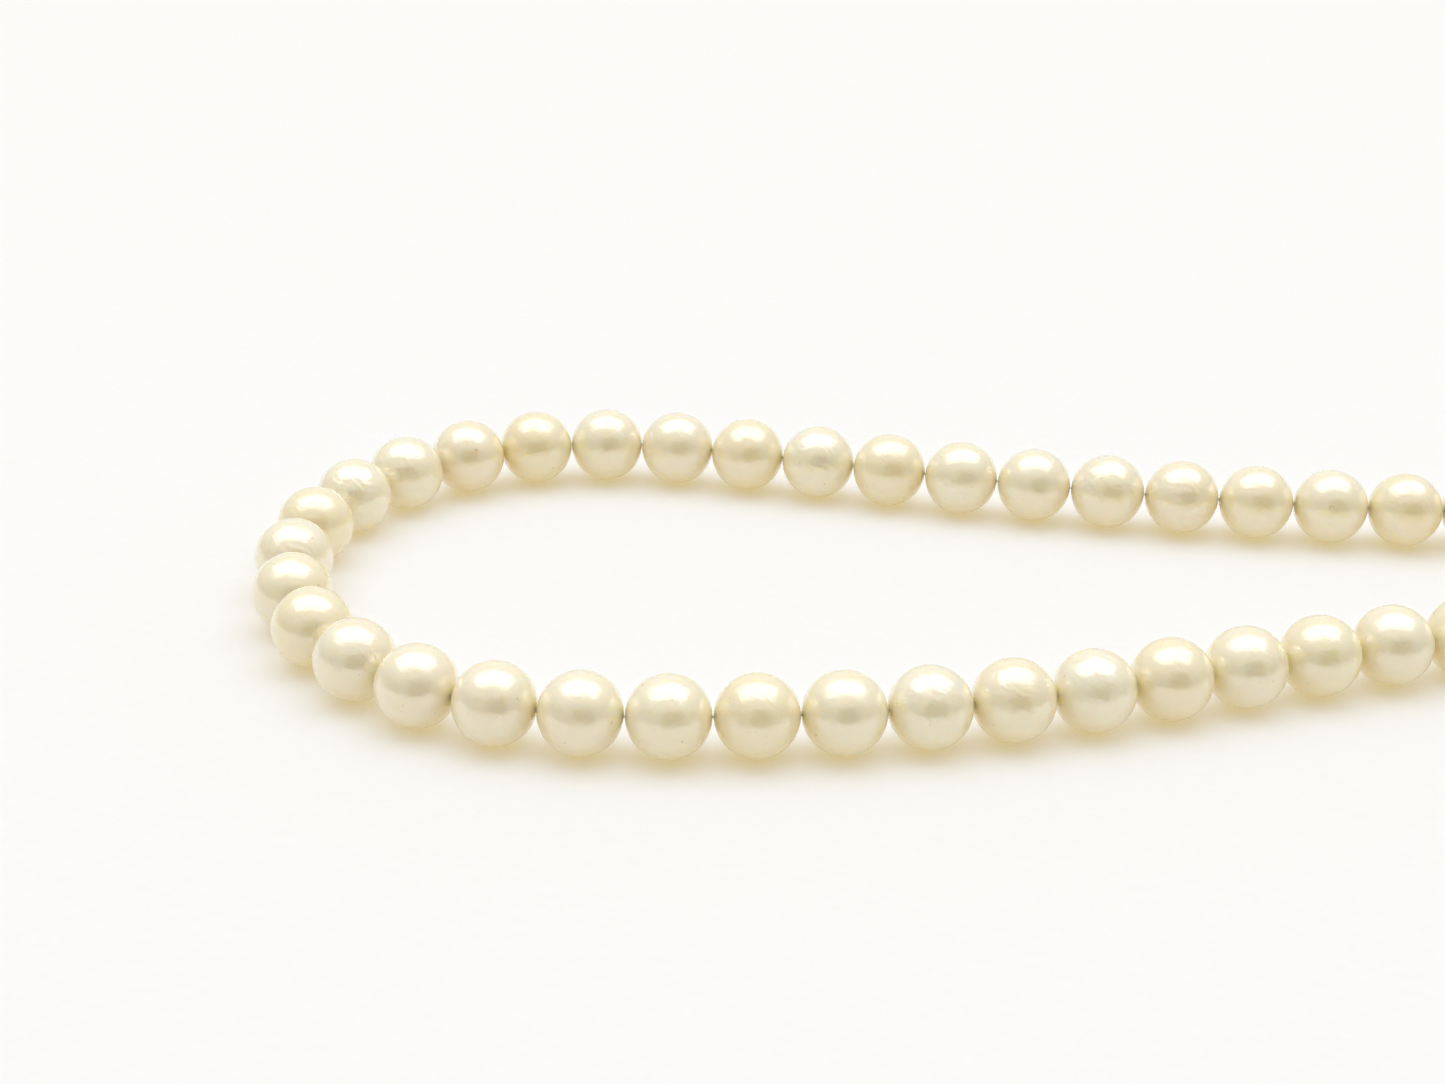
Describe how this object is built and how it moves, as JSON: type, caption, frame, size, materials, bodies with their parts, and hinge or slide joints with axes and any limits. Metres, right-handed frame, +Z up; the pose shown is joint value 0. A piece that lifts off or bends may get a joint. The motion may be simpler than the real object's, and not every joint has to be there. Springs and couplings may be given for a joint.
{
  "type": "pearl necklace",
  "caption": "Single-row necklace of round cream pearls on one silk thread, laid as a long closed loop, with a magnetic ball clasp that parts so the strand opens out.",
  "frame": {"origin": "middle of the loop's outline, on the surface that the pearls rest on", "axes": "+X along the loop from its rounded end to the clasp, +Y to the back strand, +Z up"},
  "size_m": [0.188, 0.0706, 0.008],
  "materials": {
    "pearl": "gloss",
    "silk": "satin",
    "gimp_wire": "satin",
    "clasp_silver": "polished",
    "magnet": "polished"
  },
  "bodies": {
    "apex": {"pearl_apex": "pearl", "silk_thread": "silk"},
    "back_01": {"pearl_back_01": "pearl"},
    "back_02": {"pearl_back_02": "pearl"},
    "back_03": {"pearl_back_03": "pearl"},
    "back_04": {"pearl_back_04": "pearl"},
    "back_05": {"pearl_back_05": "pearl"},
    "back_06": {"pearl_back_06": "pearl"},
    "back_07": {"pearl_back_07": "pearl"},
    "back_08": {"pearl_back_08": "pearl"},
    "back_09": {"pearl_back_09": "pearl"},
    "back_10": {"pearl_back_10": "pearl"},
    "back_11": {"pearl_back_11": "pearl"},
    "back_12": {"pearl_back_12": "pearl"},
    "back_13": {"pearl_back_13": "pearl"},
    "back_14": {"pearl_back_14": "pearl"},
    "back_15": {"pearl_back_15": "pearl"},
    "back_16": {"pearl_back_16": "pearl"},
    "back_17": {"pearl_back_17": "pearl"},
    "back_18": {"pearl_back_18": "pearl"},
    "back_19": {"pearl_back_19": "pearl"},
    "back_20": {"pearl_back_20": "pearl"},
    "back_21": {"pearl_back_21": "pearl"},
    "back_22": {"pearl_back_22": "pearl"},
    "back_23": {"pearl_back_23": "pearl"},
    "back_24": {"pearl_back_24": "pearl", "gimp_back": "gimp_wire"},
    "clasp_socket": {"clasp_socket_shell": "clasp_silver", "clasp_socket_magnet": "magnet"},
    "front_01": {"pearl_front_01": "pearl"},
    "front_02": {"pearl_front_02": "pearl"},
    "front_03": {"pearl_front_03": "pearl"},
    "front_04": {"pearl_front_04": "pearl"},
    "front_05": {"pearl_front_05": "pearl"},
    "front_06": {"pearl_front_06": "pearl"},
    "front_07": {"pearl_front_07": "pearl"},
    "front_08": {"pearl_front_08": "pearl"},
    "front_09": {"pearl_front_09": "pearl"},
    "front_10": {"pearl_front_10": "pearl"},
    "front_11": {"pearl_front_11": "pearl"},
    "front_12": {"pearl_front_12": "pearl"},
    "front_13": {"pearl_front_13": "pearl"},
    "front_14": {"pearl_front_14": "pearl"},
    "front_15": {"pearl_front_15": "pearl"},
    "front_16": {"pearl_front_16": "pearl"},
    "front_17": {"pearl_front_17": "pearl"},
    "front_18": {"pearl_front_18": "pearl"},
    "front_19": {"pearl_front_19": "pearl"},
    "front_20": {"pearl_front_20": "pearl"},
    "front_21": {"pearl_front_21": "pearl"},
    "front_22": {"pearl_front_22": "pearl"},
    "front_23": {"pearl_front_23": "pearl"},
    "front_24": {"pearl_front_24": "pearl", "gimp_front": "gimp_wire"},
    "clasp_plug": {"clasp_plug_shell": "clasp_silver", "clasp_plug_magnet": "magnet"}
  },
  "joints": [
    {"name": "back_half_opens", "type": "hinge", "parent": "apex", "child": "back_01", "pos_m": [-0.08997, 0.00428, 0.004], "axis": [0, 0, 1], "range_deg": [0, 15], "deforming": ["silk_thread"]},
    {"name": "back_bend_02", "type": "hinge", "parent": "back_01", "child": "back_02", "pos_m": [-0.08786, 0.01215, 0.004], "axis": [0, 0, 1], "range_deg": [0, 15]},
    {"name": "back_bend_03", "type": "hinge", "parent": "back_02", "child": "back_03", "pos_m": [-0.08378, 0.01921, 0.004], "axis": [0, 0, 1], "range_deg": [0, 15]},
    {"name": "back_bend_04", "type": "hinge", "parent": "back_03", "child": "back_04", "pos_m": [-0.07802, 0.02497, 0.004], "axis": [0, 0, 1], "range_deg": [0, 15]},
    {"name": "back_bend_05", "type": "hinge", "parent": "back_04", "child": "back_05", "pos_m": [-0.07096, 0.02904, 0.004], "axis": [0, 0, 1], "range_deg": [0, 15]},
    {"name": "back_bend_06", "type": "hinge", "parent": "back_05", "child": "back_06", "pos_m": [-0.06309, 0.03115, 0.004], "axis": [0, 0, 1], "range_deg": [0, 15]},
    {"name": "back_bend_07", "type": "hinge", "parent": "back_06", "child": "back_07", "pos_m": [-0.05495, 0.03151, 0.004], "axis": [0, 0, 1], "range_deg": [0, 15]},
    {"name": "back_bend_08", "type": "hinge", "parent": "back_07", "child": "back_08", "pos_m": [-0.04692, 0.03009, 0.004], "axis": [0, 0, 1], "range_deg": [0, 15]},
    {"name": "back_bend_09", "type": "hinge", "parent": "back_08", "child": "back_09", "pos_m": [-0.03892, 0.02854, 0.004], "axis": [0, 0, 1], "range_deg": [0, 15]},
    {"name": "back_bend_10", "type": "hinge", "parent": "back_09", "child": "back_10", "pos_m": [-0.03095, 0.02684, 0.004], "axis": [0, 0, 1], "range_deg": [0, 15]},
    {"name": "back_bend_11", "type": "hinge", "parent": "back_10", "child": "back_11", "pos_m": [-0.02301, 0.02501, 0.004], "axis": [0, 0, 1], "range_deg": [0, 15]},
    {"name": "back_bend_12", "type": "hinge", "parent": "back_11", "child": "back_12", "pos_m": [-0.01502, 0.02339, 0.004], "axis": [0, 0, 1], "range_deg": [0, 15]},
    {"name": "back_bend_13", "type": "hinge", "parent": "back_12", "child": "back_13", "pos_m": [-0.00699, 0.02197, 0.004], "axis": [0, 0, 1], "range_deg": [0, 15]},
    {"name": "back_bend_14", "type": "hinge", "parent": "back_13", "child": "back_14", "pos_m": [0.00107, 0.02077, 0.004], "axis": [0, 0, 1], "range_deg": [0, 15]},
    {"name": "back_bend_15", "type": "hinge", "parent": "back_14", "child": "back_15", "pos_m": [0.00916, 0.01977, 0.004], "axis": [0, 0, 1], "range_deg": [0, 15]},
    {"name": "back_bend_16", "type": "hinge", "parent": "back_15", "child": "back_16", "pos_m": [0.01727, 0.01899, 0.004], "axis": [0, 0, 1], "range_deg": [0, 15]},
    {"name": "back_bend_17", "type": "hinge", "parent": "back_16", "child": "back_17", "pos_m": [0.0254, 0.01842, 0.004], "axis": [0, 0, 1], "range_deg": [0, 15]},
    {"name": "back_bend_18", "type": "hinge", "parent": "back_17", "child": "back_18", "pos_m": [0.03354, 0.01807, 0.004], "axis": [0, 0, 1], "range_deg": [0, 15]},
    {"name": "back_bend_19", "type": "hinge", "parent": "back_18", "child": "back_19", "pos_m": [0.04169, 0.01814, 0.004], "axis": [0, 0, 1], "range_deg": [0, 15]},
    {"name": "back_bend_20", "type": "hinge", "parent": "back_19", "child": "back_20", "pos_m": [0.04982, 0.01864, 0.004], "axis": [0, 0, 1], "range_deg": [0, 15]},
    {"name": "back_bend_21", "type": "hinge", "parent": "back_20", "child": "back_21", "pos_m": [0.05792, 0.01956, 0.004], "axis": [0, 0, 1], "range_deg": [0, 15]},
    {"name": "back_bend_22", "type": "hinge", "parent": "back_21", "child": "back_22", "pos_m": [0.06596, 0.0209, 0.004], "axis": [0, 0, 1], "range_deg": [0, 16.27]},
    {"name": "back_bend_23", "type": "hinge", "parent": "back_22", "child": "back_23", "pos_m": [0.07405, 0.01994, 0.004], "axis": [0, 0, 1], "range_deg": [0, 16.27]},
    {"name": "back_bend_24", "type": "hinge", "parent": "back_23", "child": "back_24", "pos_m": [0.08204, 0.01655, 0.004], "axis": [0, 0, 1], "range_deg": [0, 16.27]},
    {"name": "clasp_socket_swing", "type": "hinge", "parent": "back_24", "child": "clasp_socket", "pos_m": [0.08997, 0.01005, 0.004], "axis": [0, 0, 1], "range_deg": [0, 50.68]},
    {"name": "front_half_opens", "type": "hinge", "parent": "apex", "child": "front_01", "pos_m": [-0.08997, -0.00387, 0.004], "axis": [0, 0, -1], "range_deg": [0, 15.1]},
    {"name": "front_bend_02", "type": "hinge", "parent": "front_01", "child": "front_02", "pos_m": [-0.08784, -0.01174, 0.004], "axis": [0, 0, -1], "range_deg": [0, 15]},
    {"name": "front_bend_03", "type": "hinge", "parent": "front_02", "child": "front_03", "pos_m": [-0.08374, -0.01879, 0.004], "axis": [0, 0, -1], "range_deg": [0, 15]},
    {"name": "front_bend_04", "type": "hinge", "parent": "front_03", "child": "front_04", "pos_m": [-0.07795, -0.02452, 0.004], "axis": [0, 0, -1], "range_deg": [0, 15]},
    {"name": "front_bend_05", "type": "hinge", "parent": "front_04", "child": "front_05", "pos_m": [-0.07086, -0.02855, 0.004], "axis": [0, 0, -1], "range_deg": [0, 15]},
    {"name": "front_bend_06", "type": "hinge", "parent": "front_05", "child": "front_06", "pos_m": [-0.06297, -0.03059, 0.004], "axis": [0, 0, -1], "range_deg": [0, 15]},
    {"name": "front_bend_07", "type": "hinge", "parent": "front_06", "child": "front_07", "pos_m": [-0.05487, -0.03147, 0.004], "axis": [0, 0, -1], "range_deg": [0, 15]},
    {"name": "front_bend_08", "type": "hinge", "parent": "front_07", "child": "front_08", "pos_m": [-0.04673, -0.03119, 0.004], "axis": [0, 0, -1], "range_deg": [0, 15]},
    {"name": "front_bend_09", "type": "hinge", "parent": "front_08", "child": "front_09", "pos_m": [-0.03861, -0.03048, 0.004], "axis": [0, 0, -1], "range_deg": [0, 15]},
    {"name": "front_bend_10", "type": "hinge", "parent": "front_09", "child": "front_10", "pos_m": [-0.03054, -0.02934, 0.004], "axis": [0, 0, -1], "range_deg": [0, 15]},
    {"name": "front_bend_11", "type": "hinge", "parent": "front_10", "child": "front_11", "pos_m": [-0.02254, -0.02779, 0.004], "axis": [0, 0, -1], "range_deg": [0, 15]},
    {"name": "front_bend_12", "type": "hinge", "parent": "front_11", "child": "front_12", "pos_m": [-0.01463, -0.02582, 0.004], "axis": [0, 0, -1], "range_deg": [0, 15]},
    {"name": "front_bend_13", "type": "hinge", "parent": "front_12", "child": "front_13", "pos_m": [-0.00684, -0.02343, 0.004], "axis": [0, 0, -1], "range_deg": [0, 15]},
    {"name": "front_bend_14", "type": "hinge", "parent": "front_13", "child": "front_14", "pos_m": [0.00082, -0.02065, 0.004], "axis": [0, 0, -1], "range_deg": [0, 15]},
    {"name": "front_bend_15", "type": "hinge", "parent": "front_14", "child": "front_15", "pos_m": [0.00851, -0.01795, 0.004], "axis": [0, 0, -1], "range_deg": [0, 15]},
    {"name": "front_bend_16", "type": "hinge", "parent": "front_15", "child": "front_16", "pos_m": [0.01623, -0.01534, 0.004], "axis": [0, 0, -1], "range_deg": [0, 15]},
    {"name": "front_bend_17", "type": "hinge", "parent": "front_16", "child": "front_17", "pos_m": [0.02399, -0.01282, 0.004], "axis": [0, 0, -1], "range_deg": [0, 15]},
    {"name": "front_bend_18", "type": "hinge", "parent": "front_17", "child": "front_18", "pos_m": [0.03193, -0.01099, 0.004], "axis": [0, 0, -1], "range_deg": [0, 15]},
    {"name": "front_bend_19", "type": "hinge", "parent": "front_18", "child": "front_19", "pos_m": [0.04, -0.00985, 0.004], "axis": [0, 0, -1], "range_deg": [0, 15]},
    {"name": "front_bend_20", "type": "hinge", "parent": "front_19", "child": "front_20", "pos_m": [0.04814, -0.00943, 0.004], "axis": [0, 0, -1], "range_deg": [0, 15]},
    {"name": "front_bend_21", "type": "hinge", "parent": "front_20", "child": "front_21", "pos_m": [0.05628, -0.00971, 0.004], "axis": [0, 0, -1], "range_deg": [0, 15]},
    {"name": "front_bend_22", "type": "hinge", "parent": "front_21", "child": "front_22", "pos_m": [0.06437, -0.01071, 0.004], "axis": [0, 0, -1], "range_deg": [0, 11.39]},
    {"name": "front_bend_23", "type": "hinge", "parent": "front_22", "child": "front_23", "pos_m": [0.0725, -0.01008, 0.004], "axis": [0, 0, -1], "range_deg": [0, 11.39]},
    {"name": "front_bend_24", "type": "hinge", "parent": "front_23", "child": "front_24", "pos_m": [0.08085, -0.00773, 0.004], "axis": [0, 0, -1], "range_deg": [0, 11.39]},
    {"name": "clasp_plug_swing", "type": "hinge", "parent": "front_24", "child": "clasp_plug", "pos_m": [0.08997, -0.00305, 0.004], "axis": [0, 0, -1], "range_deg": [0, 62.85]}
  ],
  "couplings": [
    {"joint": "back_bend_22", "follows": "back_half_opens", "ratio": 1.0849},
    {"joint": "back_bend_23", "follows": "back_half_opens", "ratio": 1.0849},
    {"joint": "back_bend_24", "follows": "back_half_opens", "ratio": 1.0849},
    {"joint": "clasp_socket_swing", "follows": "back_half_opens", "ratio": 3.3788},
    {"joint": "front_bend_22", "follows": "front_half_opens", "ratio": 0.75386},
    {"joint": "front_bend_23", "follows": "front_half_opens", "ratio": 0.75386},
    {"joint": "front_bend_24", "follows": "front_half_opens", "ratio": 0.75386},
    {"joint": "clasp_plug_swing", "follows": "front_half_opens", "ratio": 4.1623}
  ]
}
